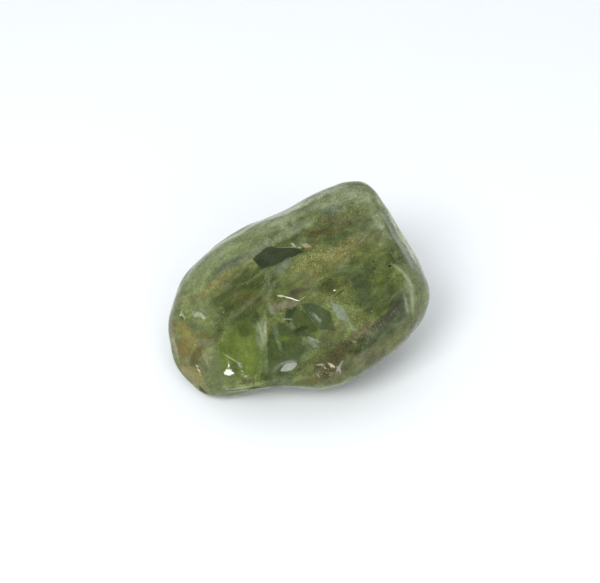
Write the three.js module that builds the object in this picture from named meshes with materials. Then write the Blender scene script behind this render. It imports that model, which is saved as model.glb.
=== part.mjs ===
// A tumbled peridot palm stone: one solid lump of olive green gem rock, worn smooth, lying on its flat spot.
// Millimetres, +Z up. The origin is under the middle of the stone, level with the spot that it rests on.

import * as THREE from 'three';
import { mergeVertices } from 'three/addons/utils/BufferGeometryUtils.js';

// How far the floor lies under the stone's middle, and how softly one worn face runs into the next.
const REST_DEPTH = 11.7;
const EDGE_SOFTNESS = 0.75;

// Long, low swells that tumbling leaves on a stone.
const SWELL_HEIGHT = 0.09;
const SWELL_LENGTH = 17;

// Half sizes of the lump, used to spread the triangles evenly over it.
const HALF_SIZE = new THREE.Vector3(25, 20, 14);
const SURFACE_DETAIL = 18;

// The surface is looked for along a line out of the middle, in steps and then by halving.
const SEARCH_STEP = 0.5;
const SEARCH_LIMIT = 40;
const HALVINGS = 24;

// Worn faces. Each one faces a compass turn (degrees from +X towards +Y) and a lift above the level,
// and lies at a reach in millimetres from the stone's middle.
const WORN_FACES = [
  // Broad front, from the ridge down to the foot
  { name: 'upper front', turn: 255, lift: 70, reach: 12.8 },
  { name: 'middle front', turn: 236, lift: 46, reach: 12.3 },
  { name: 'lower front', turn: 238, lift: 31, reach: 12.8 },
  { name: 'front left shoulder', turn: 199, lift: 22, reach: 18.2 },
  { name: 'front right shoulder', turn: 266, lift: 22, reach: 16.2 },
  { name: 'undercut below the brow', turn: 243, lift: -25, reach: 17.9 },

  // Top and the slope behind the ridge
  { name: 'left slope', turn: 141, lift: 60, reach: 16.2 },
  { name: 'peak', turn: 52, lift: 78, reach: 19.0 },
  { name: 'long back', turn: 76, lift: 41, reach: 19.6 },
  { name: 'back of the dip', turn: 102, lift: 34, reach: 17.1 },
  { name: 'left back', turn: 120, lift: 24, reach: 20.6 },
  { name: 'peak back', turn: 50, lift: 41, reach: 24.4 },
  { name: 'peak end', turn: 30, lift: 39, reach: 27.3 },
  { name: 'back wall', turn: 65, lift: -5, reach: 19.5 },
  { name: 'back corner', turn: 40, lift: 5, reach: 23.2 },
  { name: 'back corner, right', turn: 12, lift: -4, reach: 25 },
  { name: 'back corner, low', turn: 25, lift: -24, reach: 23.8 },
  { name: 'left back corner, low', turn: 115, lift: -22, reach: 23.2 },

  // Right end
  { name: 'right steep face', turn: 327, lift: 39, reach: 21.2 },
  { name: 'right end', turn: 291, lift: 28, reach: 18.6 },
  { name: 'right back corner', turn: 10, lift: 30, reach: 25 },
  { name: 'right shoulder', turn: 354, lift: 20, reach: 23 },
  { name: 'right shoulder, low', turn: 342, lift: 10, reach: 25.5 },
  { name: 'right tip', turn: 331, lift: 0, reach: 25.1 },
  { name: 'right end, low', turn: 315, lift: -13, reach: 23 },
  { name: 'right foot', turn: 300, lift: -24, reach: 20.6 },

  // Left end
  { name: 'left end', turn: 178, lift: 38, reach: 18.3 },
  { name: 'left back, low', turn: 134, lift: 14, reach: 22.1 },
  { name: 'left tip', turn: 150, lift: 0, reach: 24.9 },
  { name: 'left toe side', turn: 165, lift: -13, reach: 27.6 },
  { name: 'left toe', turn: 181, lift: -25, reach: 27.1 },

  // Brow over the front and the faces that turn under
  { name: 'brow, left', turn: 229, lift: -41, reach: 22.1 },
  { name: 'brow', turn: 259, lift: -40, reach: 18 },
  { name: 'brow, right', turn: 280, lift: -34, reach: 17.8 },
  { name: 'under the right', turn: 350, lift: -45, reach: 20.0 },
  { name: 'under the back', turn: 75, lift: -45, reach: 18.5 },
  { name: 'under the left', turn: 140, lift: -50, reach: 21.5 },
  { name: 'belly, right', turn: 20, lift: -68, reach: 14.8 },
  { name: 'belly, back', turn: 75, lift: -68, reach: 14.4 },
  { name: 'belly, left back', turn: 135, lift: -68, reach: 15.8 },
  { name: 'belly, left', turn: 190, lift: -72, reach: 18.2 },
  { name: 'belly, front', turn: 250, lift: -70, reach: 15.6 },
  { name: 'belly, right front', turn: 305, lift: -66, reach: 14.8 },
  { name: 'underside', turn: 0, lift: -90, reach: 11.8 },
];

// Hollows. Each is the space that a ball leaves when it is drawn from one point to another, in
// millimetres from the stone's middle. A small softness keeps its rim crisp.
const HOLLOWS = [
  { name: 'dip in the back ridge', from: [7, 33.8, 13.4], to: [-2.1, 19.6, 33.2], radius: 18.6, softness: 1 },
  { name: 'arch under the brow', from: [-12, -15.5, -28.2], to: [-17, -23.4, -17.8], radius: 17.2, softness: 0.5 },
  { name: 'undercut slot', from: [-20.5, -9.3, -8.6], to: [-14.5, -12.6, -8], radius: 2.6, softness: 0.2 },
  { name: 'glassy facet', from: [-9.1, -0.8, 20.2], to: [-1.9, -3.5, 20.6], radius: 8, softness: 0.12 },
  { name: 'middle scoop', from: [-19.6, -22.2, 14.1], to: [-11.1, -24, 18.4], radius: 20, softness: 0.25 },
  { name: 'pit at the middle', from: [-4.9, -6.5, 10.9], to: [-3.9, -6.6, 11.4], radius: 1.7, softness: 0.15 },
  { name: 'right groove, top', from: [19.3, 1.1, 15.7], to: [19.9, -4.2, 12.4], radius: 2.2, softness: 0.25 },
  { name: 'right groove, foot', from: [19.9, -4.2, 12.4], to: [21, -8.4, 8.4], radius: 2.2, softness: 0.25 },
];

function directionOf(turn, lift) {
  const turnRadians = THREE.MathUtils.degToRad(turn);
  const liftRadians = THREE.MathUtils.degToRad(lift);
  return new THREE.Vector3(
    Math.cos(turnRadians) * Math.cos(liftRadians),
    Math.sin(turnRadians) * Math.cos(liftRadians),
    Math.sin(liftRadians),
  );
}

const faces = WORN_FACES.map((face) => ({ normal: directionOf(face.turn, face.lift), reach: face.reach }));
const hollows = HOLLOWS.map((hollow) => ({
  path: new THREE.Line3(new THREE.Vector3(...hollow.from), new THREE.Vector3(...hollow.to)),
  radius: hollow.radius,
  softness: hollow.softness,
}));

// The larger of the values, with the corner where they cross rounded off.
function softLargest(values, softness) {
  const largest = Math.max(...values);
  const sum = values.reduce((total, value) => total + Math.exp((value - largest) / softness), 0);
  return largest + softness * Math.log(sum);
}

function swell(point) {
  const wave = (2 * Math.PI) / SWELL_LENGTH;
  return (
    SWELL_HEIGHT *
    (Math.sin(wave * point.x + wave * point.z) + Math.sin(wave * point.y - wave * point.x) * Math.cos(wave * point.z))
  );
}

const nearest = new THREE.Vector3();

// Below zero inside the stone, above zero outside it.
function heightAboveStone(point) {
  const overFaces = faces.map((face) => face.normal.dot(point) - face.reach);
  let height = softLargest(overFaces, EDGE_SOFTNESS) + swell(point);
  for (const hollow of hollows) {
    hollow.path.closestPointToPoint(point, true, nearest);
    const insideHollow = hollow.radius - nearest.distanceTo(point);
    height = softLargest([height, insideHollow], hollow.softness);
  }
  return Math.max(height, -point.z - REST_DEPTH);
}

// The first place where a line out of the middle leaves the stone.
function surfaceAlong(direction) {
  const point = new THREE.Vector3();
  let outside = SEARCH_STEP;
  while (outside < SEARCH_LIMIT && heightAboveStone(point.copy(direction).multiplyScalar(outside)) < 0) {
    outside += SEARCH_STEP;
  }
  let inside = outside - SEARCH_STEP;
  for (let i = 0; i < HALVINGS; i++) {
    const middle = (inside + outside) / 2;
    if (heightAboveStone(point.copy(direction).multiplyScalar(middle)) < 0) {
      inside = middle;
    } else {
      outside = middle;
    }
  }
  return point.copy(direction).multiplyScalar(inside);
}

function stoneGeometry() {
  const ball = new THREE.IcosahedronGeometry(1, SURFACE_DETAIL);
  ball.deleteAttribute('normal');
  ball.deleteAttribute('uv');
  const geometry = mergeVertices(ball);
  const places = geometry.getAttribute('position');
  const direction = new THREE.Vector3();
  for (let i = 0; i < places.count; i++) {
    direction.fromBufferAttribute(places, i).multiply(HALF_SIZE).normalize();
    const point = surfaceAlong(direction);
    places.setXYZ(i, point.x, point.y, point.z);
  }
  geometry.computeBoundingBox();
  const middle = geometry.boundingBox.getCenter(new THREE.Vector3());
  geometry.translate(-middle.x, -middle.y, -geometry.boundingBox.min.z);
  geometry.computeVertexNormals();
  return geometry;
}

const polishedPeridot = new THREE.MeshStandardMaterial({ color: 0x6d7552, roughness: 0.18, metalness: 0 });

const stone = new THREE.Mesh(stoneGeometry(), polishedPeridot);
stone.name = 'stone';

const palmStone = new THREE.Group();
palmStone.add(stone);

export default palmStone;
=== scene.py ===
"""A peridot palm stone: a tumbled, polished lump of cloudy olive green gem rock on a plain pale floor."""
import math

import bpy
import numpy as np
from mathutils import Matrix, Vector, noise


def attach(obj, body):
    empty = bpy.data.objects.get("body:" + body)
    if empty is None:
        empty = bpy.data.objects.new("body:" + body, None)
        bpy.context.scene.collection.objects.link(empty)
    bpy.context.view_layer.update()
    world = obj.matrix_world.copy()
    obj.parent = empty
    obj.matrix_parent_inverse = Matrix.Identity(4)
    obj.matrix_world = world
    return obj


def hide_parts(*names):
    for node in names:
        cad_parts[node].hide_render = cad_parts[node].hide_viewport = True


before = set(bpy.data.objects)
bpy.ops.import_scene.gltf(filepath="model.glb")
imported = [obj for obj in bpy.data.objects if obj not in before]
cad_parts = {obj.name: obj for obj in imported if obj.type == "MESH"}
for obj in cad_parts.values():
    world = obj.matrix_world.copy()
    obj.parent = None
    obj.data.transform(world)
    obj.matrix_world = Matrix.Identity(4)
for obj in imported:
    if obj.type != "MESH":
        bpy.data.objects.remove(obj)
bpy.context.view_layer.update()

bl_info = {
    "name": "Peridot Palm Stone",
    "version": (1, 0, 0),
    "blender": (4, 5, 0),
    "location": "View3D > Sidebar > Palm Stone",
    "description": "Builds a polished peridot palm stone and its studio",
    "category": "Add Mesh",
}

MM = 0.001

# The rock's bands climb to the right of the front at this angle.
BANDING = math.radians(37)

# Length of the faint waves that tumbling leaves.
RIPPLE_LENGTH = 3.5 * MM

# How deep a facet's colour reaches into the rock, and the least that a mark's does (millimetres, as its width).
FACET_DEPTH = 4 * MM
LEAST_MARK_DEPTH = 2.0

# Two small square lamps that the flats mirror. Each is given by a compass turn and a lift, in degrees.
WINDOW = (230, 12)
BULB = (206, 4)
LAMP_DISTANCE = 0.4
LAMP_SIDE = 0.02

# A flat moves no point that lies further than this from its plane, and it fades out over this share of its size.
FLAT_REACH = 1 * MM
FLAT_RIM = 0.3


def linear(hex_colour):
    """An sRGB hex colour as linear red, green, blue and alpha."""
    channels = [int(hex_colour[i:i + 2], 16) / 255 for i in (0, 2, 4)]
    return tuple(c / 12.92 if c <= 0.04045 else ((c + 0.055) / 1.055) ** 2.4 for c in channels) + (1.0,)


def direction(turn, lift):
    """The direction of a compass turn (from +X towards +Y) and a lift above the level, in degrees."""
    turn, lift = math.radians(turn), math.radians(lift)
    return Vector((math.cos(turn) * math.cos(lift), math.sin(turn) * math.cos(lift), math.sin(lift)))


# The eye that looks at the front from its left and from above. What lies on the front is placed as it sees it.
STONE_MIDDLE = Vector((-0.084, -1.83, 11.7)) * MM
VIEW_TURN = math.radians(-30)
VIEW_LIFT = math.radians(48)
TOWARDS_VIEWER = Vector((
    math.sin(VIEW_TURN) * math.cos(VIEW_LIFT),
    -math.cos(VIEW_TURN) * math.cos(VIEW_LIFT),
    math.sin(VIEW_LIFT),
))
VIEW_RIGHT = Vector((math.cos(VIEW_TURN), math.sin(VIEW_TURN), 0))
VIEW_UP = TOWARDS_VIEWER.cross(VIEW_RIGHT)
EYE_DISTANCE = 311.7 * MM
EYE_RISE = 1.59 * MM
EYE = STONE_MIDDLE + VIEW_UP * EYE_RISE + TOWARDS_VIEWER * EYE_DISTANCE


class StoneSizes(bpy.types.PropertyGroup):
    """Sizes of the stone's surface and of its studio."""
    fine_levels: bpy.props.IntProperty(
        name="Fineness", description="How often each face of the rough stone is divided", default=2, min=1, max=2)
    ripple: bpy.props.FloatProperty(
        name="Ripple", description="Height of the faint waves left by tumbling", default=0.04 * MM, unit="LENGTH")
    floor_side: bpy.props.FloatProperty(
        name="Floor side", description="Side of the square floor", default=3.0, unit="LENGTH")


class StoneColours(bpy.types.PropertyGroup):
    """Main colours of the stone."""
    body: bpy.props.FloatVectorProperty(
        name="Body green", description="Deep olive green of clear rock", subtype="COLOR", size=4,
        min=0, max=1, default=linear("4b562c"))
    clouds: bpy.props.FloatVectorProperty(
        name="Clouds", description="Paler olive of the cloudy bands", subtype="COLOR", size=4,
        min=0, max=1, default=linear("66703c"))
    pools: bpy.props.FloatVectorProperty(
        name="Pools", description="Dark green of the clearest rock", subtype="COLOR", size=4,
        min=0, max=1, default=linear("3b4624"))
    stains: bpy.props.FloatVectorProperty(
        name="Stains", description="Brown of the iron-stained bands", subtype="COLOR", size=4,
        min=0, max=1, default=linear("646038"))
    threads: bpy.props.FloatVectorProperty(
        name="Threads", description="Milky threads in the rock", subtype="COLOR", size=4,
        min=0, max=1, default=linear("909b7c"))
    floor: bpy.props.FloatVectorProperty(
        name="Floor", description="Pale floor under the stone", subtype="COLOR", size=4,
        min=0, max=1, default=linear("f4f7fa"))


def add_node(tree, kind, inputs=None, **settings):
    """Adds a node, sets its settings, and fills its inputs with values or links."""
    made = tree.nodes.new(kind)
    for name, value in settings.items():
        setattr(made, name, value)
    for key, value in (inputs or {}).items():
        if isinstance(value, bpy.types.NodeSocket):
            tree.links.new(value, made.inputs[key])
        else:
            made.inputs[key].default_value = value
    return made


# Places of the colour sockets on a Mix node.
MIX_FACTOR, MIX_A, MIX_B, MIX_RESULT = 0, 6, 7, 2


def mix_colours(tree, factor, first, second):
    """The colour socket of two colours mixed by a factor."""
    inputs = {MIX_FACTOR: factor, MIX_A: first, MIX_B: second}
    return add_node(tree, "ShaderNodeMix", inputs, data_type="RGBA").outputs[MIX_RESULT]


def deselect_all():
    """Leaves nothing selected, so that an operator acts only on what is chosen next."""
    bpy.ops.object.select_all(action="DESELECT")


def choose(piece):
    """Selects one object and makes it active."""
    deselect_all()
    piece.select_set(True)
    bpy.context.view_layer.objects.active = piece


def on_front(piece, right, up):
    """The point of the front, and its normal, that the eye sees this far right of and above the middle (mm)."""
    aim = STONE_MIDDLE + (VIEW_RIGHT * right + VIEW_UP * up) * MM
    hit, place, normal, _ = piece.ray_cast(EYE, (aim - EYE).normalized())
    if not hit:
        _, place, normal, _ = piece.closest_point_on_mesh(aim)
    return place, normal


# Relief that wear left on the front. Each form runs from one point of the front to another (millimetres right
# of and above the stone's middle), with a half width and a height in millimetres, below zero where it is sunk.
RELIEF = [
    # name, start, end, half width, height
    # Swellings and dips of the outline
    ("swelling left of the dip", (-12.0, 12.7), (-9.0, 14.2), 2.99, 0.42),
    ("swelling of the slope", (-15.7, 10.3), (-13.8, 11.4), 2.24, 0.2),
    ("upper left edge", (-21.1, 5.4), (-22.4, 3.0), 2.62, 0.28),
    ("left edge", (-24.3, -3.0), (-24.5, -6.4), 1.87, 0.2),
    ("crest left of the peak", (5.2, 20.9), (8.2, 21.7), 1.87, 0.12),
    ("right side of the peak", (11.6, 21.7), (13.8, 20.2), 2.43, 0.35),
    ("dip in the ridge", (-3.0, 16.6), (-1.1, 17.6), 4.11, -0.55),
    ("top of the peak", (8.2, 21.7), (11.6, 21.7), 2.24, 0.4),
    ("notch right of the peak", (15.0, 19.3), (16.1, 17.8), 0.94, -0.55),
    ("right tip", (23.9, 1.9), (22.8, -4.9), 3.18, 0.5),
    ("right foot of the front", (8.2, -16.1), (13.8, -13.3), 2.24, 0.55),
    ("low left edge", (-23.6, -10.5), (-21.3, -15.0), 2.24, 0.45),
    # Long groove on the right, filled by wear and crossed by slots
    ("worn wall of the groove", (19.3, 13.5), (21.5, 8.2), 1.87, -0.45),
    ("upper slot", (15.1, 18.0), (16.6, 15.9), 0.30, -0.26),
    ("middle slot", (18.1, 13.8), (18.7, 11.8), 0.28, -0.22),
    ("lower slot", (18.9, 10.7), (20.0, 9.3), 0.28, -0.22),
    # Middle of the front
    ("recess above the tick", (-2.4, 1.2), (0.6, 1.8), 0.60, -0.22),
    ("ledge of the tick", (-3.9, 0.5), (-0.2, -0.6), 0.28, 0.12),
    ("step of the pane", (0.7, -0.4), (4.1, -5.2), 0.41, -0.1),
    ("hollow of the silver flake", (6.4, -0.7), (8.8, -4.3), 0.79, -0.08),
    ("crest beside the lobe", (-5.8, -2.2), (-7.5, -15.0), 0.67, 0.06),
    ("edge over the dark facet", (-8.2, 8.6), (0.4, 9.9), 0.37, 0.1),
    # Brow over the foot
    ("slot under the brow, left", (-14.2, -17.2), (-10.8, -16.5), 0.28, -0.24),
    ("slot under the brow, right", (-10.8, -16.5), (-7.1, -16.2), 0.28, -0.24),
    ("rim of the brow, left", (-14.6, -16.7), (-10.8, -16.1), 0.28, 0.12),
    ("rim of the brow, right", (-10.8, -16.1), (-3.0, -15.7), 0.28, 0.12),
    # Chips and pits
    ("chip, left", (3.7, -12.0), (5.2, -12.3), 0.41, -0.12),
    ("chip, right", (5.4, -11.8), (6.9, -12.9), 0.41, -0.12),
    ("curved chip", (6.7, -13.5), (8.0, -11.4), 0.34, -0.1),
    ("pit, low", (3.0, -14.4), (3.4, -14.4), 0.34, -0.1),
    ("pit, middle", (5.0, -13.8), (5.4, -13.8), 0.30, -0.1),
    ("pit, rind", (-19.1, -12.9), (-18.7, -13.7), 0.30, -0.1),
    ("pit, left end", (-20.9, -10.7), (-20.8, -11.2), 0.30, -0.1),
    ("dent in the rind", (-20.2, -12.3), (-17.6, -7.5), 0.56, -0.1),
    ("beads by the dip", (-3.0, 14.6), (-0.4, 15.9), 0.41, -0.08),
]

# Parts where wear has filled the hollows of the rough solid, and how much.
WORN = [
    # name, start, end, half width, passes
    ("right groove", (14.6, 18.4), (22.3, 5.6), 4.0, 350),
]

# Small flat spots worn on the lower front, each turned so that it mirrors a lamp to the eye: middle, half length
# and half width in millimetres, how far the long side climbs to the right in degrees, and how round the ends are.
FLATS = [
    # name, middle, half sizes, climb, roundness, lamp
    ("leaf", (-2.1, -12.6), (2.0, 0.95), 20, 1, WINDOW),
    ("oval", (-13.3, -13.6), (1.4, 0.85), 5, 2, BULB),
    ("tail of the oval", (-11.1, -13.1), (1.5, 0.3), -20, 1, BULB),
]

# Zones and streaks of the rock, with painted rim light and painted light on the groove walls among them. Each runs
# from one point of the front to another (millimetres right of and above the stone's middle), with a half width in
# millimetres.
ZONES = [
    # name, start, end, half width, edge, colour, strength
    # Large zones of the front
    ("pale slope", (-20.6, 1.1), (-8.2, 12.7), 3.74, "cloud", "6a7747", 0.95),
    ("yellow green slope top", (-11.6, 10.8), (-7.5, 12.9), 1.50, "cloud", "636f36", 0.8),
    ("pale slope by the dip", (-6.7, 13.1), (0.0, 16.3), 1.68, "cloud", "7c8463", 0.85),
    # Rims of the slope, the dip and the peak: painted rim light, paler paint for the light that the upper edges
    # catch.
    ("painted rim light of the slope", (-21.7, 6.0), (-7.1, 14.8), 0.94, "cloud", "8b9b60", 0.8),
    ("painted rim light by the dip", (-7.1, 14.6), (2.2, 18.9), 0.94, "cloud", "98a279", 0.8),
    ("painted rim light of the peak", (4.1, 20.6), (13.5, 21.3), 1.31, "cloud", "9caa7c", 0.8),
    ("peak", (3.7, 18.0), (12.7, 19.8), 2.62, "cloud", "808a68", 0.9),
    ("pale back of the peak", (1.5, 18.3), (8.6, 21.3), 0.94, "ragged", "8a937a", 0.8),
    ("right of the peak", (12.3, 18.7), (16.8, 11.2), 1.68, "cloud", "8c9674", 0.85),
    # Walls of the groove: painted light, pale paint for the reflection and light on the stone's right side.
    ("painted light on the wall of the groove", (15.7, 17.4), (21.7, 7.1), 1.31, "ragged", "b4be98", 0.85),
    ("painted light on the outer wall of the groove", (18.3, 15.3), (21.9, 7.9), 1.50, "ragged", "acb690", 0.75),
    ("green slot, top", (15.3, 17.6), (16.6, 15.9), 0.22, "ragged", "5c6a3c", 0.7),
    ("green slot, middle", (18.1, 13.8), (18.9, 11.6), 0.21, "ragged", "5c6a3c", 0.6),
    ("green slot, low", (19.1, 10.5), (20.2, 9.2), 0.19, "ragged", "66744a", 0.5),
    ("tan lip of the groove", (20.8, 7.9), (22.3, 4.9), 0.41, "ragged", "8a7f5e", 0.6),
    ("pale shoulder", (13.5, 19.4), (17.2, 16.1), 1.12, "cloud", "98a27c", 0.8),
    ("olive below the peak", (4.9, 14.2), (13.5, 16.1), 1.68, "cloud", "585a38", 0.8),
    ("right of the olive streak", (9.7, 12.3), (16.8, 9.7), 1.50, "cloud", "6c724c", 0.7),
    ("yellow mottled band", (-1.5, 5.2), (11.2, 10.1), 2.24, "cloud", "6b6a38", 0.85),
    ("dark pool, right", (11.4, 4.1), (12.3, 0.0), 2.24, "cloud", "3c472b", 0.9),
    ("dark middle, left", (-14.6, 1.9), (-6.0, 3.7), 2.62, "cloud", "3d471f", 0.9),
    ("green middle", (-13.1, -1.1), (-4.9, 0.4), 1.68, "cloud", "4d4f28", 0.8),
    ("green left of the lobe", (-17.8, -3.4), (-12.7, -4.1), 1.50, "cloud", "545f34", 0.75),
    ("green, right", (14.6, 3.0), (17.0, 5.6), 1.68, "cloud", "505d28", 0.85),
    ("olive, right of the middle", (3.0, 2.2), (8.2, 3.7), 1.68, "cloud", "4a4e26", 0.8),
    ("pale right", (18.7, 7.1), (21.3, 0.0), 1.50, "cloud", "7f8a60", 0.85),
    ("right rim", (22.6, 6.0), (23.0, -2.2), 1.12, "cloud", "8f9568", 0.85),
    ("tan, right", (9.3, -7.5), (13.8, -3.7), 1.12, "cloud", "625c40", 0.8),
    ("olive lower right", (11.6, -12.7), (20.9, -4.9), 2.43, "cloud", "63633a", 0.9),
    ("brown foot of the front", (3.0, -14.6), (8.2, -9.7), 2.81, "cloud", "453f2a", 0.9),
    ("olive foot of the front", (9.3, -12.0), (13.5, -9.3), 1.31, "cloud", "524f2c", 0.7),
    ("pale low middle", (-1.1, -9.7), (4.1, -7.9), 1.31, "ragged", "525d3f", 0.8),
    ("left end", (-23.6, 0.0), (-18.7, -3.4), 1.68, "cloud", "6d763a", 0.85),
    ("ochre ground", (-22.8, -5.2), (-19.4, -9.3), 2.24, "cloud", "78712c", 0.9),
    ("left foot", (-21.3, -12.3), (-18.7, -15.3), 1.68, "cloud", "7a7136", 0.85),
    ("low left rim", (-14.6, -16.3), (-6.7, -15.5), 0.75, "ragged", "6f7c47", 0.8),
    # Streaks that follow the banding
    ("grey streak, low", (-15.7, 5.0), (-10.1, 8.4), 1.12, "ragged", "4a543c", 0.85),
    ("lilac streak", (-11.6, 6.9), (-4.5, 11.4), 0.60, "ragged", "686b57", 0.75),
    ("dark streak in the slope", (-16.1, 4.9), (-11.2, 7.9), 0.41, "ragged", "424b33", 0.8),
    ("pale band", (-4.5, 11.2), (2.2, 15.0), 1.03, "ragged", "737d5e", 0.8),
    ("grey spot", (4.1, 16.3), (7.9, 17.4), 1.12, "ragged", "58624e", 0.8),
    ("olive streak", (0.4, 11.8), (8.6, 13.7), 0.84, "ragged", "484622", 0.9),
    ("yellow heart", (4.1, 8.2), (9.3, 9.7), 1.12, "ragged", "7d7b46", 0.6),
    ("faint brown streak", (-0.4, 2.2), (4.1, 5.2), 0.64, "ragged", "555128", 0.6),
    ("brown streak, left", (-19.4, 0.0), (-12.7, 5.2), 0.84, "ragged", "726a34", 0.8),
    ("dark streak, right", (13.1, -6.4), (18.9, -0.4), 1.03, "ragged", "4a4834", 0.95),
    ("dark line, right", (14.2, -4.1), (19.3, 0.2), 0.30, "ragged", "33382a", 0.7),
]

# Clear facets and patches with straight sides, some carrying painted light, painted shade, a painted glow and a
# painted reflection: corners in millimetres, and the width that the edge fades over.
FACETS = [
    # name, corners, edge, fade, colour, strength
    ("lobe", ((-10.3, -3.7), (-8.4, -5.4), (-7.7, -8.2), (-7.6, -11.6), (-8.0, -13.8), (-10.8, -14.8),
      (-14.2, -14.1), (-16.0, -12.9), (-15.7, -10.1), (-14.7, -7.9), (-11.9, -4.7)), "ragged", 0.6, "546228", 0.8),
    ("left side of the lobe", ((-15.7, -10.1), (-14.7, -7.9), (-13.7, -9.7), (-14.6, -13.7), (-16.0, -12.9)),
     "ragged", 0.6, "576428", 0.55),
    # Heart of the lobe: painted glow, brighter lime for light shining through the lobe.
    ("painted glow in the heart of the lobe", ((-12.0, -8.6), (-9.2, -7.1), (-8.0, -9.3), (-8.2, -13.1), (-10.7, -13.7)),
     "ragged", 2.4, "687934", 0.55),
    ("top block of the lobe", ((-10.3, -3.6), (-8.5, -5.3), (-8.7, -6.4), (-11.2, -7.0), (-12.0, -4.7)),
     "crisp", 0.5, "445020", 0.7),
    ("strip beside the glass", ((-7.5, -8.4), (-6.1, -5.6), (-6.0, -13.8), (-7.6, -13.5)),
     "crisp", 0.4, "5b6b3c", 0.65),
    ("white ridge", ((-8.3, -4.9), (-6.8, -2.6), (-6.1, -3.3), (-6.2, -8.2), (-7.5, -9.5), (-8.2, -7.9)),
     "ragged", 0.6, "6d7854", 0.85),
    ("glass", ((-5.9, -5.8), (-3.7, -4.1), (0.0, -6.4), (0.6, -9.7), (-0.7, -12.3), (-3.4, -14.0),
      (-5.9, -14.0)), "ragged", 0.4, "3d4923", 0.85),
    ("haze in the glass", ((-3.6, -9.3), (-0.7, -8.2), (1.1, -9.3), (0.0, -12.3), (-3.0, -12.3)),
     "ragged", 1.4, "46512f", 0.7),
    ("dark corner of the glass", ((-2.6, -1.7), (-0.6, -1.1), (-1.4, -3.0), (-2.1, -4.5), (-2.8, -3.4)),
     "crisp", 0.3, "2d3b1e", 0.85),
    ("triangle", ((-0.5, -1.0), (3.6, -5.7), (0.6, -6.7), (-1.8, -3.7)), "crisp", 0.2, "44502a", 0.95),
    ("facet behind the triangle", ((0.0, -0.7), (2.2, -0.5), (5.6, -2.1), (6.7, -5.8), (3.7, -5.5)),
     "crisp", 0.3, "3e4a2e", 0.85),
    ("dark foot of the triangle", ((-1.7, -3.9), (0.6, -5.6), (3.4, -5.8), (2.2, -7.1), (-0.7, -6.7)),
     "ragged", 0.5, "36402a", 0.75),
    ("pane below the flake", ((3.7, -5.7), (6.5, -5.8), (7.1, -8.4), (4.1, -8.0)), "crisp", 0.5, "4d5636", 0.5),
    ("dark facet", ((-8.9, 7.7), (-6.3, 9.9), (-3.6, 10.0), (-0.7, 9.7), (0.8, 9.1), (-0.6, 8.4), (-4.7, 6.5),
      (-7.1, 5.8)), "crisp", 0.15, "2e3720", 0.97),
    # Top and foot of the dark facet: painted light on its upper half, painted shade on its lower left.
    ("painted light on the top of the dark facet", ((-7.1, 9.0), (-6.0, 9.7), (0.0, 9.3), (-2.6, 8.6), (-6.4, 7.9)),
     "crisp", 0.6, "343d28", 0.6),
    ("painted shade at the foot of the dark facet", ((-8.7, 7.6), (-7.1, 7.7), (-5.2, 6.7), (-7.1, 5.9)), "crisp", 0.6, "242e14", 0.7),
    # Silver flake: a cleavage flake in the rock, painted with the silvery reflection it gives.
    ("silver flake", ((5.7, -0.4), (7.7, -1.2), (8.7, -2.5), (9.2, -3.9), (8.5, -4.4), (7.2, -3.3), (6.4, -1.7)),
     "ragged", 0.25, "78806d", 0.9),
    ("ochre streak", ((-20.6, -12.3), (-20.4, -10.8), (-19.2, -8.4), (-18.0, -8.6), (-17.6, -9.8),
      (-18.5, -11.0), (-19.9, -12.6)), "ragged", 0.5, "4c4707", 0.85),
    ("ochre cap", ((-18.9, -7.0), (-18.2, -6.2), (-16.6, -6.2), (-16.3, -6.7), (-17.3, -7.4)),
     "ragged", 0.4, "525107", 0.8),
    ("deep ochre", ((-23.0, -8.2), (-21.9, -7.7), (-20.6, -8.8), (-20.8, -10.5), (-22.1, -10.7), (-23.0, -9.5)),
     "ragged", 1.4, "665a12", 0.95),
]

# Parts of the front with crystal grains that carry painted glints.
GRANULAR = [
    # name, start, end, half width
    ("yellow band", (-2.6, 5.6), (12.0, 11.4), 2.0),
    ("below the tick", (-5.6, -1.9), (-1.1, -0.9), 0.9),
    ("haze in the glass", (1.1, -7.5), (3.9, -8.6), 1.1),
    ("foot of the front", (2.6, -14.2), (6.4, -13.1), 1.1),
    ("rind", (-20.6, -12.0), (-17.2, -15.7), 1.5),
]
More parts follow.
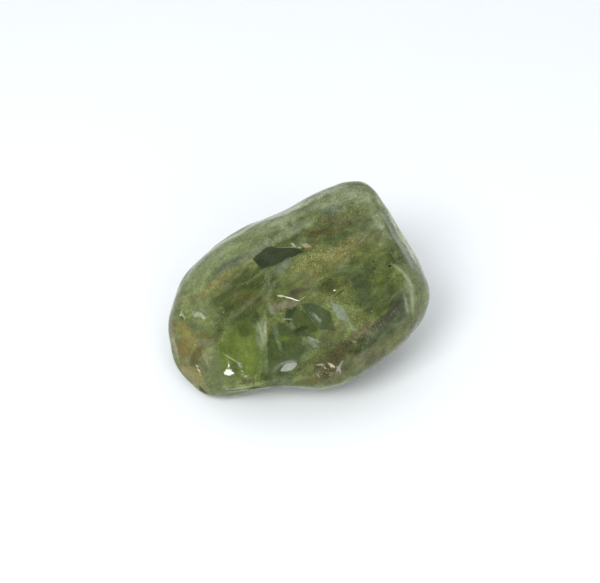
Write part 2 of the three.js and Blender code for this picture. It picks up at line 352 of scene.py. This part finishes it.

# Flaws on top of these, from soft spots to small chips, with painted highlights, glints, reflections and shade among
# them, laid out like the zones.
FLAWS = [
    # name, start, end, half width, edge, colour, strength
    ("crack over the lobe", (-16.5, -5.8), (-12.0, -1.1), 0.13, "ragged", "39421f", 0.75),
    ("crack over the lobe, high", (-14.0, -3.2), (-10.1, 0.7), 0.09, "soft", "404a26", 0.5),
    ("edge of the triangle", (-0.4, -1.1), (3.6, -5.6), 0.11, "crisp", "2c371a", 0.55),
    ("edge of the glass", (-5.9, -5.4), (-5.9, -13.8), 0.11, "crisp", "35411f", 0.5),
    ("olive spot", (-8.8, 0.4), (-7.5, 1.5), 0.60, "cloud", "555018", 0.8),
    ("brown spot in the band", (2.2, 3.9), (3.6, 5.2), 0.37, "ragged", "64582a", 0.5),
    ("lime spot in the glass", (-3.2, -7.7), (-1.7, -7.1), 0.64, "cloud", "53691e", 0.75),
    ("dark spot in the glass", (-0.7, -5.8), (1.3, -5.0), 0.52, "ragged", "283413", 0.85),
    ("dark spot, top of the glass", (-2.4, -2.8), (-1.3, -1.9), 0.56, "ragged", "2c3a18", 0.7),
    ("dark spot, left of the glass", (-5.2, -9.3), (-4.9, -11.6), 0.64, "cloud", "36451c", 0.8),
    ("grey bead, left of the glass", (-4.7, -5.2), (-4.5, -6.7), 0.60, "ragged", "5c6a50", 0.6),
    ("white sprinkle on the glass", (-3.2, -3.7), (-1.5, -3.7), 0.22, "ragged", "94a08e", 0.6),
    ("white sprinkle, low", (1.7, -7.1), (3.6, -7.7), 0.30, "ragged", "8e9a88", 0.55),
    ("pale rind beside the ochre", (-18.0, -9.7), (-17.2, -12.3), 0.65, "ragged", "82805a", 0.6),
    ("pale bead on the glass", (2.4, -2.6), (3.4, -3.4), 0.49, "ragged", "76826c", 0.8),
    ("pale streak on the ridge", (-7.9, -4.1), (-6.7, -8.2), 0.30, "soft", "8c9874", 0.6),
    ("pale streak on the ridge, right", (-6.5, -3.0), (-6.4, -8.2), 0.22, "soft", "8c9874", 0.55),
    ("grey cloud on the pane", (1.9, -2.1), (3.7, -4.5), 0.56, "ragged", "58624e", 0.6),
    ("pale fleck on the glass, left", (-5.6, -1.1), (-4.9, -2.6), 0.41, "ragged", "79836a", 0.8),
    ("pale fleck on the glass, right", (3.0, -3.0), (3.7, -3.7), 0.37, "ragged", "7d8874", 0.7),
    ("pale shard below the middle", (-4.5, -7.1), (-3.4, -9.3), 0.37, "ragged", "6d7a5c", 0.6),
    ("pale shard, low", (1.5, -7.5), (3.4, -8.6), 0.37, "ragged", "78836a", 0.6),
    ("pale foot of the flake", (9.0, -4.1), (10.7, -6.0), 0.26, "ragged", "80866e", 0.8),
    ("brown triangle", (-0.4, -15.7), (3.7, -14.8), 0.94, "ragged", "565522", 0.85),
    # Under the brow: painted shade in the slot beneath it, and a painted highlight along its rim.
    ("painted shade in the slot under the brow", (-14.2, -17.1), (-7.1, -16.2), 0.36, "crisp", "38421a", 0.9),
    ("rim of the brow", (-13.8, -16.7), (-7.9, -15.8), 0.15, "soft", "aab28e", 0.6),
    ("upper edge of the dark facet", (-4.9, 9.8), (-1.1, 9.9), 0.10, "crisp", "8a8d72", 0.5),
    ("bluish cloud", (-4.5, 5.0), (-2.1, 7.3), 0.75, "ragged", "64705f", 0.75),
    ("cream chips", (-1.5, 10.4), (-0.9, 10.0), 0.26, "ragged", "a59d84", 0.9),
    ("cream chip, middle", (-0.4, 9.9), (0.0, 9.8), 0.17, "ragged", "a59d84", 0.8),
    ("cream chips, right", (0.4, 10.2), (1.7, 9.9), 0.43, "ragged", "948c6c", 0.9),
    # Darker brown in the recess above the tick: painted shade.
    ("recess above the tick", (-1.5, 1.1), (1.3, 2.1), 0.64, "ragged", "48432e", 0.85),
    ("rough brown by the tick", (-5.2, -1.5), (-0.7, -0.6), 0.79, "ragged", "77725c", 0.75),
    # Tick: painted highlight along the crisp edge of a chip, whitest on the long side.
    ("tick, long side", (-3.0, 0.7), (-0.2, -0.2), 0.11, "crisp", "efece0", 0.95),
    ("tick, blunt end", (-4.1, 0.8), (-3.0, 0.7), 0.19, "crisp", "c9c5b2", 0.75),
    ("tick, short side", (-0.2, -0.2), (1.1, 0.8), 0.07, "crisp", "b9b7a0", 0.7),
    ("thin black crack", (6.5, 0.6), (8.4, 2.1), 0.11, "crisp", "1c2410", 0.9),
    ("line across the lobe", (-14.2, -10.1), (-11.2, -11.8), 0.19, "soft", "9aa868", 0.65),
    # Thin pale lines round the right end: painted reflections along its curve
    ("pale line, top", (17.6, 6.4), (19.4, 5.0), 0.49, "soft", "a0aa80", 0.55),
    ("pale line, bend", (19.4, 5.0), (20.8, 2.8), 0.50, "soft", "aab48c", 0.65),
    ("pale line, side", (20.8, 2.8), (21.1, -2.2), 0.56, "soft", "aab48c", 0.65),
    ("pale line, inner", (19.6, 0.7), (20.2, -2.6), 0.45, "soft", "a4ae86", 0.55),
    # Ochre rind of the left end
    ("ochre spot on the edge", (-23.9, -4.1), (-23.2, -5.0), 0.49, "ragged", "5c4c06", 0.9),
    ("pinkish rind, high", (-23.9, -6.4), (-22.8, -11.2), 0.56, "ragged", "857c58", 0.75),
    ("pinkish rind, low", (-22.1, -12.7), (-18.7, -16.1), 1.03, "ragged", "7b744e", 0.8),
    ("rough brown of the rind", (-18.9, -8.4), (-16.1, -7.5), 0.64, "ragged", "6b6440", 0.8),
    ("gleam in the ochre", (-21.5, -9.3), (-20.9, -10.1), 0.34, "soft", "80691c", 0.6),
    ("dark spot of the foot", (-18.7, -16.6), (-17.6, -17.4), 0.49, "ragged", "2c2320", 0.95),
    # Pale patch at the left end: painted glints of small facets.
    ("pale patch", (-20.0, -2.4), (-17.8, -3.4), 0.49, "ragged", "949c80", 0.85),
    ("pale patch, edge", (-22.1, -2.2), (-21.7, -3.4), 0.26, "ragged", "959d78", 0.8),
    # Chips at the foot of the front
    ("chip, left", (3.4, -12.0), (4.1, -12.3), 0.24, "ragged", "a09a80", 0.9),
    ("chip, middle", (4.5, -12.5), (4.9, -12.7), 0.19, "ragged", "a09a80", 0.8),
    ("chip, right", (5.4, -11.8), (6.5, -12.5), 0.22, "ragged", "b5af94", 0.95),
    ("chip, low", (3.2, -13.8), (3.6, -14.6), 0.24, "ragged", "8d8a78", 0.8),
    ("chip, far right", (7.1, -12.5), (7.7, -13.5), 0.26, "ragged", "a3a394", 0.8),
    ("curved chip", (6.9, -13.3), (8.0, -11.4), 0.24, "crisp", "9a9a86", 0.8),
    ("tan dot, low", (9.9, -7.7), (10.5, -7.7), 0.30, "ragged", "8c8160", 0.8),
    ("tan spot, right end", (21.9, -0.6), (21.9, -1.3), 0.30, "ragged", "77664a", 0.8),
    ("tan dot, peak", (3.4, 18.9), (3.7, 19.3), 0.22, "crisp", "a29c7a", 0.8),
    ("black speck, high", (13.7, 7.2), (13.8, 7.2), 0.15, "crisp", "12180a", 0.95),
    ("black speck, low", (16.6, 6.3), (17.0, 6.4), 0.17, "crisp", "12180a", 0.95),
    ("white dot", (6.4, 1.8), (6.5, 1.8), 0.13, "crisp", "e6e9dc", 0.95),
    # White specks of the left end and the rind: painted glints.
    ("white speck, left end", (-22.4, -2.8), (-22.3, -2.8), 0.13, "crisp", "d6d6b4", 0.9),
    ("white speck, rind", (-19.4, -12.2), (-19.1, -12.5), 0.13, "crisp", "e0dcc0", 0.9),
    ("white fleck, rind", (-19.1, -12.9), (-18.7, -13.5), 0.13, "crisp", "e0dcc0", 0.9),
]

# Kinds of edge: how far a mark's edge is pulled about, the size of the waves that pull it (millimetres), and
# how much of the mark's width it takes to fade.
EDGES = {"cloud": (1.5, 3.5, 0.8), "ragged": (0.5, 1.3, 0.5), "crisp": (0.08, 0.7, 0.3), "soft": (0.1, 1.5, 0.9)}


def pulled_about(tree, place, reach, wave):
    """The place of each point, pulled about by noise so that what is drawn there gets an uneven edge.

    Most of the noise lies within a sixth of its middle, so it is tripled to fill the reach."""
    waves = add_node(tree, "ShaderNodeTexNoise", {"Vector": place, "Scale": 1 / wave, "Detail": 3.0})
    centred = add_node(
        tree, "ShaderNodeVectorMath", {0: waves.outputs["Color"], 1: (0.5, 0.5, 0.5)}, operation="SUBTRACT")
    pull = add_node(tree, "ShaderNodeVectorMath", {0: centred.outputs[0], "Scale": 3 * reach}, operation="SCALE")
    return add_node(tree, "ShaderNodeVectorMath", {0: place, 1: pull.outputs[0]}).outputs[0]


def mark_mask(tree, piece, coordinates, start, end, half_width, edge, strength):
    """A soft lens in the rock between two points of the front: its strength inside, nothing outside."""
    middle, length, along, across, outward = lens_frame(piece, start, end)
    turned = Matrix((along, across, outward)).transposed().to_euler()
    half_length = length / MM / 2 + half_width
    fade = EDGES[edge][2]
    grown = 1 + fade / 2
    lens = add_node(tree, "ShaderNodeMapping", {
        "Vector": coordinates, "Location": middle / MM, "Rotation": turned,
        "Scale": (half_length * grown, half_width * grown, max(half_width, LEAST_MARK_DEPTH) * grown),
    }, vector_type="TEXTURE").outputs[0]
    within = add_node(tree, "ShaderNodeTexGradient", {"Vector": lens}, gradient_type="SPHERICAL").outputs["Fac"]
    return add_node(tree, "ShaderNodeMapRange", {
        "Value": within, "From Min": 0.0, "From Max": 1 - (1 - fade) / grown, "To Min": 0.0, "To Max": strength,
    }, interpolation_type="SMOOTHSTEP", clamp=False).outputs[0]


def facet_mask(tree, piece, coordinates, corners, fade, strength):
    """A facet between straight lines of the front: its strength inside, nothing outside."""
    points = [on_front(piece, *corner)[0] for corner in corners]
    middle = sum(points, Vector()) / len(points)
    sides = [(-TOWARDS_VIEWER, middle - TOWARDS_VIEWER * FACET_DEPTH)]
    for first, second in zip(points, points[1:] + points[:1]):
        sides.append(((first - EYE).cross(second - EYE).normalized(), EYE))
    inside = None
    for normal, place in sides:
        if normal.dot(middle - place) < 0:
            normal = -normal
        reach = add_node(tree, "ShaderNodeVectorMath", {0: coordinates, 1: normal}, operation="DOT_PRODUCT")
        reach = add_node(tree, "ShaderNodeMath", {
            0: reach.outputs["Value"], 1: normal.dot(place) / MM}, operation="SUBTRACT").outputs[0]
        if inside:
            reach = add_node(tree, "ShaderNodeMath", {0: inside, 1: reach}, operation="MINIMUM").outputs[0]
        inside = reach
    return add_node(tree, "ShaderNodeMapRange", {
        "Value": inside, "From Min": -fade / 2, "From Max": fade / 2, "To Min": 0.0, "To Max": strength,
    }, interpolation_type="SMOOTHSTEP", clamp=False).outputs[0]


def banded(tree, place, stretch):
    """Coordinates that stretch a pattern along the rock's banding, which runs up to the right of the front."""
    along = (VIEW_RIGHT * math.cos(BANDING) + VIEW_UP * math.sin(BANDING)).normalized()
    turned = Matrix((along, TOWARDS_VIEWER.cross(along), TOWARDS_VIEWER)).transposed().to_euler()
    return add_node(tree, "ShaderNodeMapping", {
        "Vector": place, "Rotation": turned, "Scale": (stretch, 1.0, 2.0)}, vector_type="TEXTURE").outputs[0]


def noise_share(tree, place, size, low, high, floor=0.0, top=1.0, detail=4.0):
    """Noise with waves of a size in millimetres, low to high of it spread from floor to top."""
    waves = add_node(tree, "ShaderNodeTexNoise", {"Vector": place, "Scale": 1 / size, "Detail": detail})
    return add_node(tree, "ShaderNodeMapRange", {
        "Value": waves.outputs[0], "From Min": low, "From Max": high, "To Min": floor, "To Max": top,
    }).outputs[0]


def multiply(tree, first, second):
    """The product of two numbers."""
    return add_node(tree, "ShaderNodeMath", {0: first, 1: second}, operation="MULTIPLY").outputs[0]


def thin_lines(tree, place, size, thickness):
    """Wandering hair lines: one where the noise is near its middle, nothing elsewhere."""
    waves = add_node(tree, "ShaderNodeTexNoise", {"Vector": place, "Scale": 1 / size, "Detail": 1.0})
    off_middle = add_node(tree, "ShaderNodeMath", {0: waves.outputs[0], 1: 0.5}, operation="SUBTRACT").outputs[0]
    off_middle = add_node(tree, "ShaderNodeMath", {0: off_middle}, operation="ABSOLUTE").outputs[0]
    return add_node(tree, "ShaderNodeMapRange", {
        "Value": off_middle, "From Min": 0.0, "From Max": thickness, "To Min": 1.0, "To Max": 0.0}).outputs[0]


def deep_rock(tree, edges, colours):
    """The whole stone's ground: deep green with paler olive clouds, dark pools and faint brown bands."""
    clouds = noise_share(tree, banded(tree, edges["cloud"], 2.5), 5.0, 0.38, 0.62)
    colour = mix_colours(tree, clouds, tuple(colours.body), tuple(colours.clouds))
    pools = noise_share(tree, edges["cloud"], 8.0, 0.52, 0.62, top=0.8)
    colour = mix_colours(tree, pools, colour, tuple(colours.pools))
    stains = noise_share(tree, banded(tree, edges["ragged"], 4.0), 3.2, 0.56, 0.68, top=0.6)
    return mix_colours(tree, stains, colour, tuple(colours.stains))


def mottled(tree, place, colour):
    """Mottling of the cloudy rock, livelier in patches: soft flecks, faint fibres along the banding, and grain."""
    lively = noise_share(tree, place, 5.0, 0.42, 0.58, 0.35, 1.0)
    flecks = noise_share(tree, banded(tree, place, 1.6), 1.2, 0.3, 0.7, -0.28, 0.28, detail=5.0)
    fibres = noise_share(tree, banded(tree, place, 3.0), 0.6, 0.3, 0.7, -0.1, 0.1)
    grain = noise_share(tree, place, 0.26, 0.3, 0.7, -0.42, 0.42, detail=2.0)
    mottle = add_node(tree, "ShaderNodeMath", {0: grain, 1: lively, 2: flecks}, operation="MULTIPLY_ADD").outputs[0]
    mottle = add_node(tree, "ShaderNodeMath", {0: mottle, 1: fibres}).outputs[0]
    mottle = add_node(tree, "ShaderNodeMath", {0: mottle, 1: 1.0}).outputs[0]
    return add_node(tree, "ShaderNodeVectorMath", {0: colour, "Scale": mottle}, operation="SCALE").outputs[0]


def veined(tree, place, edges, colour, colours):
    """Milky threads inside the rock, here and there, and rust that has crept in along the grain boundaries."""
    patches = noise_share(tree, place, 6.0, 0.45, 0.58)
    threads = multiply(tree, thin_lines(tree, banded(tree, place, 2.5), 2.6, 0.09), patches)
    colour = mix_colours(tree, multiply(tree, threads, 0.22), colour, tuple(colours.threads))
    rust = noise_share(tree, banded(tree, edges["ragged"], 2.0), 1.7, 0.52, 0.66, top=0.2)
    return mix_colours(tree, rust, colour, linear("625c34"))


def granular(tree, piece, place, edges, colour):
    """Crystal grains, a quarter of a millimetre across, in patches and in the granular parts, painted pale as glints
    where they catch the light.
    """
    granules = noise_share(tree, place, 0.28, 0.56, 0.68, detail=1.0)
    patches = noise_share(tree, place, 4.0, 0.56, 0.66, top=0.6)
    for _, start, end, half_width in GRANULAR:
        mask = mark_mask(tree, piece, edges["cloud"], start, end, half_width, "cloud", 1.0)
        patches = add_node(tree, "ShaderNodeMath", {0: patches, 1: mask}, operation="MAXIMUM").outputs[0]
    return mix_colours(tree, multiply(tree, multiply(tree, granules, patches), 0.5), colour, linear("a8aa80"))


def speckled(tree, place, colour, colours):
    """Pale inclusions, up to a third of a millimetre across, and a last soft mottle over the clear rock too."""
    cells = add_node(tree, "ShaderNodeTexVoronoi", {"Vector": place, "Scale": 1 / 1.1})
    draw = add_node(tree, "ShaderNodeSeparateColor", {0: cells.outputs["Color"]})
    size = add_node(tree, "ShaderNodeMapRange", {
        "Value": draw.outputs[0], "From Min": 0.7, "From Max": 1.0, "To Min": 0.0, "To Max": 0.16}).outputs[0]
    inclusions = add_node(tree, "ShaderNodeMath", {0: cells.outputs["Distance"], 1: size}, operation="LESS_THAN")
    colour = mix_colours(tree, multiply(tree, inclusions.outputs[0], 0.45), colour, tuple(colours.threads))
    soft = noise_share(tree, place, 1.7, 0.3, 0.7, 0.8, 1.2, detail=8.0)
    grain = noise_share(tree, place, 0.4, 0.3, 0.7, 0.82, 1.18)
    return add_node(tree, "ShaderNodeVectorMath", {
        0: colour, "Scale": multiply(tree, soft, grain)}, operation="SCALE").outputs[0]


def polished_peridot(piece, colours):
    """Cloudy peridot, tumble polished: olive green with veins and flaws, and some painted highlights, glints, glow
    and shade, under a clear gloss.
    """
    material = bpy.data.materials.new("polished_peridot")
    material.use_nodes = True
    tree = material.node_tree
    tree.nodes.clear()
    metres = add_node(tree, "ShaderNodeTexCoord").outputs["Object"]
    place = add_node(tree, "ShaderNodeVectorMath", {0: metres, "Scale": 1 / MM}, operation="SCALE").outputs[0]
    edges = {edge: pulled_about(tree, place, reach, wave) for edge, (reach, wave, _) in EDGES.items()}

    colour = deep_rock(tree, edges, colours)
    for _, start, end, half_width, edge, hex_colour, strength in ZONES:
        mask = mark_mask(tree, piece, edges[edge], start, end, half_width, edge, strength)
        colour = mix_colours(tree, mask, colour, linear(hex_colour))
    colour = mottled(tree, place, colour)
    colour = veined(tree, place, edges, colour, colours)
    colour = granular(tree, piece, place, edges, colour)
    for _, corners, edge, fade, hex_colour, strength in FACETS:
        mask = facet_mask(tree, piece, edges[edge], corners, fade, strength)
        colour = mix_colours(tree, mask, colour, linear(hex_colour))
    for _, start, end, half_width, edge, hex_colour, strength in FLAWS:
        mask = mark_mask(tree, piece, edges[edge], start, end, half_width, edge, strength)
        colour = mix_colours(tree, mask, colour, linear(hex_colour))
    colour = speckled(tree, place, colour, colours)

    # Tumble polishing leaves a smooth skin: small, nearly sharp reflections over the cloudy rock, which light
    # enters a little way, and a faint pale bloom at the rims. It mirrors less than clear peridot, of index 1.65.
    shader = add_node(tree, "ShaderNodeBsdfPrincipled", {
        "Base Color": colour, "Roughness": 0.14, "IOR": 1.46, "Specular IOR Level": 0.42,
        "Subsurface Weight": 0.1, "Subsurface Radius": (0.6, 1.0, 0.3), "Subsurface Scale": 1.0 * MM,
        "Sheen Weight": 0.2, "Sheen Roughness": 0.35, "Sheen Tint": linear("d8e0c0")})
    add_node(tree, "ShaderNodeOutputMaterial", {"Surface": shader.outputs[0]})
    return material


def lens_frame(piece, start, end):
    """The middle, length and three directions (along, across, outward) of a lens between two points of the front."""
    first, first_normal = on_front(piece, *start)
    last, last_normal = on_front(piece, *end)
    along = (last - first).normalized()
    across = (first_normal + last_normal).cross(along).normalized()
    return (first + last) / 2, (last - first).length, along, across, along.cross(across)


def lens_reach(piece, places, start, end, half_width):
    """How far each place lies out from the middle of a lens: nothing in its middle, 1 at its edge."""
    middle, length, *axes = lens_frame(piece, start, end)
    half = half_width * MM
    sizes = (length / 2 + half, half, 2 * half)
    return np.sqrt(sum(((places - middle) @ np.array(axis) / size) ** 2 for axis, size in zip(axes, sizes)))


def wear_down(piece, places, normals, reach, passes):
    """Fills the hollows inside a lens: in each pass a point lower than its neighbours rises towards their middle."""
    ends = np.empty(len(piece.data.edges) * 2, dtype=np.int32)
    piece.data.edges.foreach_get("vertices", ends)
    first, second = np.concatenate((ends[0::2], ends[1::2])), np.concatenate((ends[1::2], ends[0::2]))
    neighbours = np.bincount(first, minlength=len(places))[:, None]
    share = np.clip(2 - 2 * reach, 0, 1)[:, None]
    for _ in range(passes):
        sums = np.stack([np.bincount(first, places[second, k], len(places)) for k in range(3)], axis=1)
        rise = ((sums / neighbours - places) * normals).sum(axis=1, keepdims=True)
        places += share * np.maximum(rise, 0) * normals


def press_flat(piece, places, middle, half_sizes, climb, roundness, lamp):
    """Moves the points inside one flat onto the plane that mirrors a lamp to the eye."""
    middle, _ = on_front(piece, *middle)
    lamp = STONE_MIDDLE + direction(*lamp) * LAMP_DISTANCE
    mirror = ((EYE - middle).normalized() + (lamp - middle).normalized()).normalized()
    level = VIEW_UP.cross(mirror).normalized()
    along = Matrix.Rotation(math.radians(climb), 3, mirror) @ level
    half_length, half_width = half_sizes
    offset = places - np.array(middle)
    above = offset @ np.array(mirror)
    lengthwise = np.abs(offset @ np.array(along)) / (half_length * MM)
    sideways = np.abs(offset @ np.array(mirror.cross(along))) / (half_width * MM)
    inside = np.clip((1 + FLAT_RIM / 2 - lengthwise ** 2 - sideways ** roundness) / FLAT_RIM, 0, 1)
    places -= (above * inside * (np.abs(above) < FLAT_REACH))[:, None] * np.array(mirror)


def raise_relief(piece, ripple):
    """Moves the stone's points by the ripple, the wear, the relief and the flats, in this order."""
    count = len(piece.data.vertices)
    places = np.empty(count * 3)
    normals = np.empty(count * 3)
    piece.data.vertices.foreach_get("co", places)
    piece.data.vertices.foreach_get("normal", normals)
    places = places.reshape(-1, 3)
    normals = normals.reshape(-1, 3)
    moved = places.copy()
    waves = np.array([noise.noise(Vector(place) / RIPPLE_LENGTH) for place in places])
    above_floor = np.clip(places[:, 2:] / RIPPLE_LENGTH, 0, 1)
    moved += normals * waves[:, None] * above_floor * ripple
    for _, start, end, half_width, passes in WORN:
        wear_down(piece, moved, normals, lens_reach(piece, places, start, end, half_width), passes)
    for _, start, end, half_width, height in RELIEF:
        reach = lens_reach(piece, places, start, end, half_width)
        rise = np.clip(1 - reach ** 2, 0, 1) ** 1.5 * height * MM
        moved += rise[:, None] * np.array(lens_frame(piece, start, end)[4])
    for _, *flat in FLATS:
        press_flat(piece, moved, *flat)
    moved[:, 2] = np.maximum(moved[:, 2], 0)
    piece.data.vertices.foreach_set("co", moved.ravel())
    piece.data.update()


class STONE_OT_stone(bpy.types.Operator):
    """Make the polished stone around the rough solid"""
    bl_idname = "object.make_palm_stone"
    bl_label = "Palm Stone"

    def execute(self, context):
        sizes = context.scene.stone_sizes
        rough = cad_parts["stone"]
        stone = bpy.data.objects.new("polished_stone", rough.data.copy())
        context.collection.objects.link(stone)
        choose(stone)
        bpy.ops.object.mode_set(mode="EDIT")
        bpy.ops.mesh.select_all(action="SELECT")
        bpy.ops.mesh.remove_doubles(threshold=0.001 * MM)
        bpy.ops.object.mode_set(mode="OBJECT")
        divide = stone.modifiers.new("Fineness", "SUBSURF")
        divide.levels = divide.render_levels = sizes.fine_levels
        bpy.ops.object.modifier_apply(modifier=divide.name)
        raise_relief(stone, sizes.ripple)
        bpy.ops.object.shade_smooth()
        stone.data.materials.clear()
        stone.data.materials.append(polished_peridot(stone, context.scene.stone_colours))
        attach(stone, "root")
        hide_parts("stone")
        return {"FINISHED"}


# Lights: name, compass turn and lift in degrees, distance and side in metres, power in watts. The gloss mirrors
# only the two small lamps.
SOFT_LIGHTS = [
    ("key", (200, 52), 0.5, 0.24, 1.42),
    ("fill", (262, 42), 0.5, 0.4, 0.92),
    ("back", (25, 42), 0.5, 0.4, 0.4),
]
MIRRORED_LAMPS = [("window", WINDOW, 0.036), ("bulb", BULB, 0.1)]


class STONE_OT_stage(bpy.types.Operator):
    """Make the pale floor, the soft lights and the camera"""
    bl_idname = "object.make_stone_stage"
    bl_label = "Stage"

    def execute(self, context):
        deselect_all()
        scene = context.scene
        bpy.ops.mesh.primitive_plane_add(size=scene.stone_sizes.floor_side, location=(0, 0, 0))
        floor = context.object
        floor.name = "floor"
        floor.data.materials.append(pale_floor(scene.stone_colours))
        for light in SOFT_LIGHTS:
            self.light(*light)
        for name, towards, power in MIRRORED_LAMPS:
            self.light(name, towards, LAMP_DISTANCE, LAMP_SIDE, power, in_gloss=True)
        bpy.ops.object.camera_add(location=EYE, rotation=TOWARDS_VIEWER.to_track_quat("Z", "Y").to_euler())
        camera = context.object
        camera.name = "camera"
        camera.data.lens = 100
        camera.data.sensor_width = 36
        camera.data.clip_start = 10 * MM
        camera.data.dof.use_dof = False
        scene.camera = camera
        scene.world = pale_studio()
        scene.view_settings.view_transform = "Standard"
        return {"FINISHED"}

    def light(self, name, towards, distance, side, power, in_gloss=False):
        """A square light that faces the stone from a compass turn and a lift, in degrees."""
        towards = direction(*towards)
        place = STONE_MIDDLE + towards * distance
        bpy.ops.object.light_add(type="AREA", location=place, rotation=towards.to_track_quat("Z", "Y").to_euler())
        lamp = bpy.context.object
        lamp.name = name
        lamp.data.size = side
        lamp.data.energy = power
        lamp.visible_glossy = in_gloss


def pale_studio():
    """White walls round the back and left of the table, and a dim room on the viewer's side."""
    world = bpy.data.worlds.new("pale_studio")
    world.use_nodes = True
    tree = world.node_tree
    tree.nodes.clear()
    towards = add_node(tree, "ShaderNodeTexCoord").outputs["Generated"]
    walls = add_node(
        tree, "ShaderNodeVectorMath", {0: towards, 1: direction(100, 25)}, operation="DOT_PRODUCT").outputs["Value"]
    share = add_node(tree, "ShaderNodeMapRange", {
        "Value": walls, "From Min": 0.0, "From Max": 0.9}, interpolation_type="SMOOTHSTEP").outputs[0]
    colour = mix_colours(tree, share, linear("8c9094"), linear("fbfdff"))
    glow = add_node(tree, "ShaderNodeBackground", {"Color": colour, "Strength": 0.88})
    add_node(tree, "ShaderNodeOutputWorld", {"Surface": glow.outputs[0]})
    return world


def pale_floor(colours):
    """White sheet, slightly cool, with a faint unevenness."""
    material = bpy.data.materials.new("pale_floor")
    material.use_nodes = True
    tree = material.node_tree
    tree.nodes.clear()
    metres = add_node(tree, "ShaderNodeTexCoord").outputs["Object"]
    uneven = add_node(tree, "ShaderNodeTexNoise", {"Vector": metres, "Scale": 40.0, "Detail": 4.0})
    share = add_node(tree, "ShaderNodeMapRange", {
        "Value": uneven.outputs[0], "To Min": 0.0, "To Max": 0.06}).outputs[0]
    colour = mix_colours(tree, share, tuple(colours.floor), linear("d8dee4"))
    shader = add_node(tree, "ShaderNodeBsdfPrincipled", {"Base Color": colour, "Roughness": 0.6})
    add_node(tree, "ShaderNodeOutputMaterial", {"Surface": shader.outputs[0]})
    return material


class STONE_PT_panel(bpy.types.Panel):
    """Lists what the add-on makes"""
    bl_idname = "STONE_PT_panel"
    bl_label = "Peridot Palm Stone"
    bl_space_type = "VIEW_3D"
    bl_region_type = "UI"
    bl_category = "Palm Stone"

    def draw(self, context):
        layout = self.layout
        for operator in (STONE_OT_stone, STONE_OT_stage):
            layout.operator(operator.bl_idname)
        for group in (context.scene.stone_sizes, context.scene.stone_colours):
            for name in group.__annotations__:
                layout.prop(group, name)


CLASSES = (StoneSizes, StoneColours, STONE_OT_stone, STONE_OT_stage, STONE_PT_panel)


def register():
    for each in CLASSES:
        bpy.utils.register_class(each)
    bpy.types.Scene.stone_sizes = bpy.props.PointerProperty(type=StoneSizes)
    bpy.types.Scene.stone_colours = bpy.props.PointerProperty(type=StoneColours)


def unregister():
    del bpy.types.Scene.stone_sizes
    del bpy.types.Scene.stone_colours
    for each in reversed(CLASSES):
        bpy.utils.unregister_class(each)


def main():
    register()
    bpy.ops.object.make_palm_stone()
    bpy.ops.object.make_stone_stage()


if __name__ == "__main__":
    main()
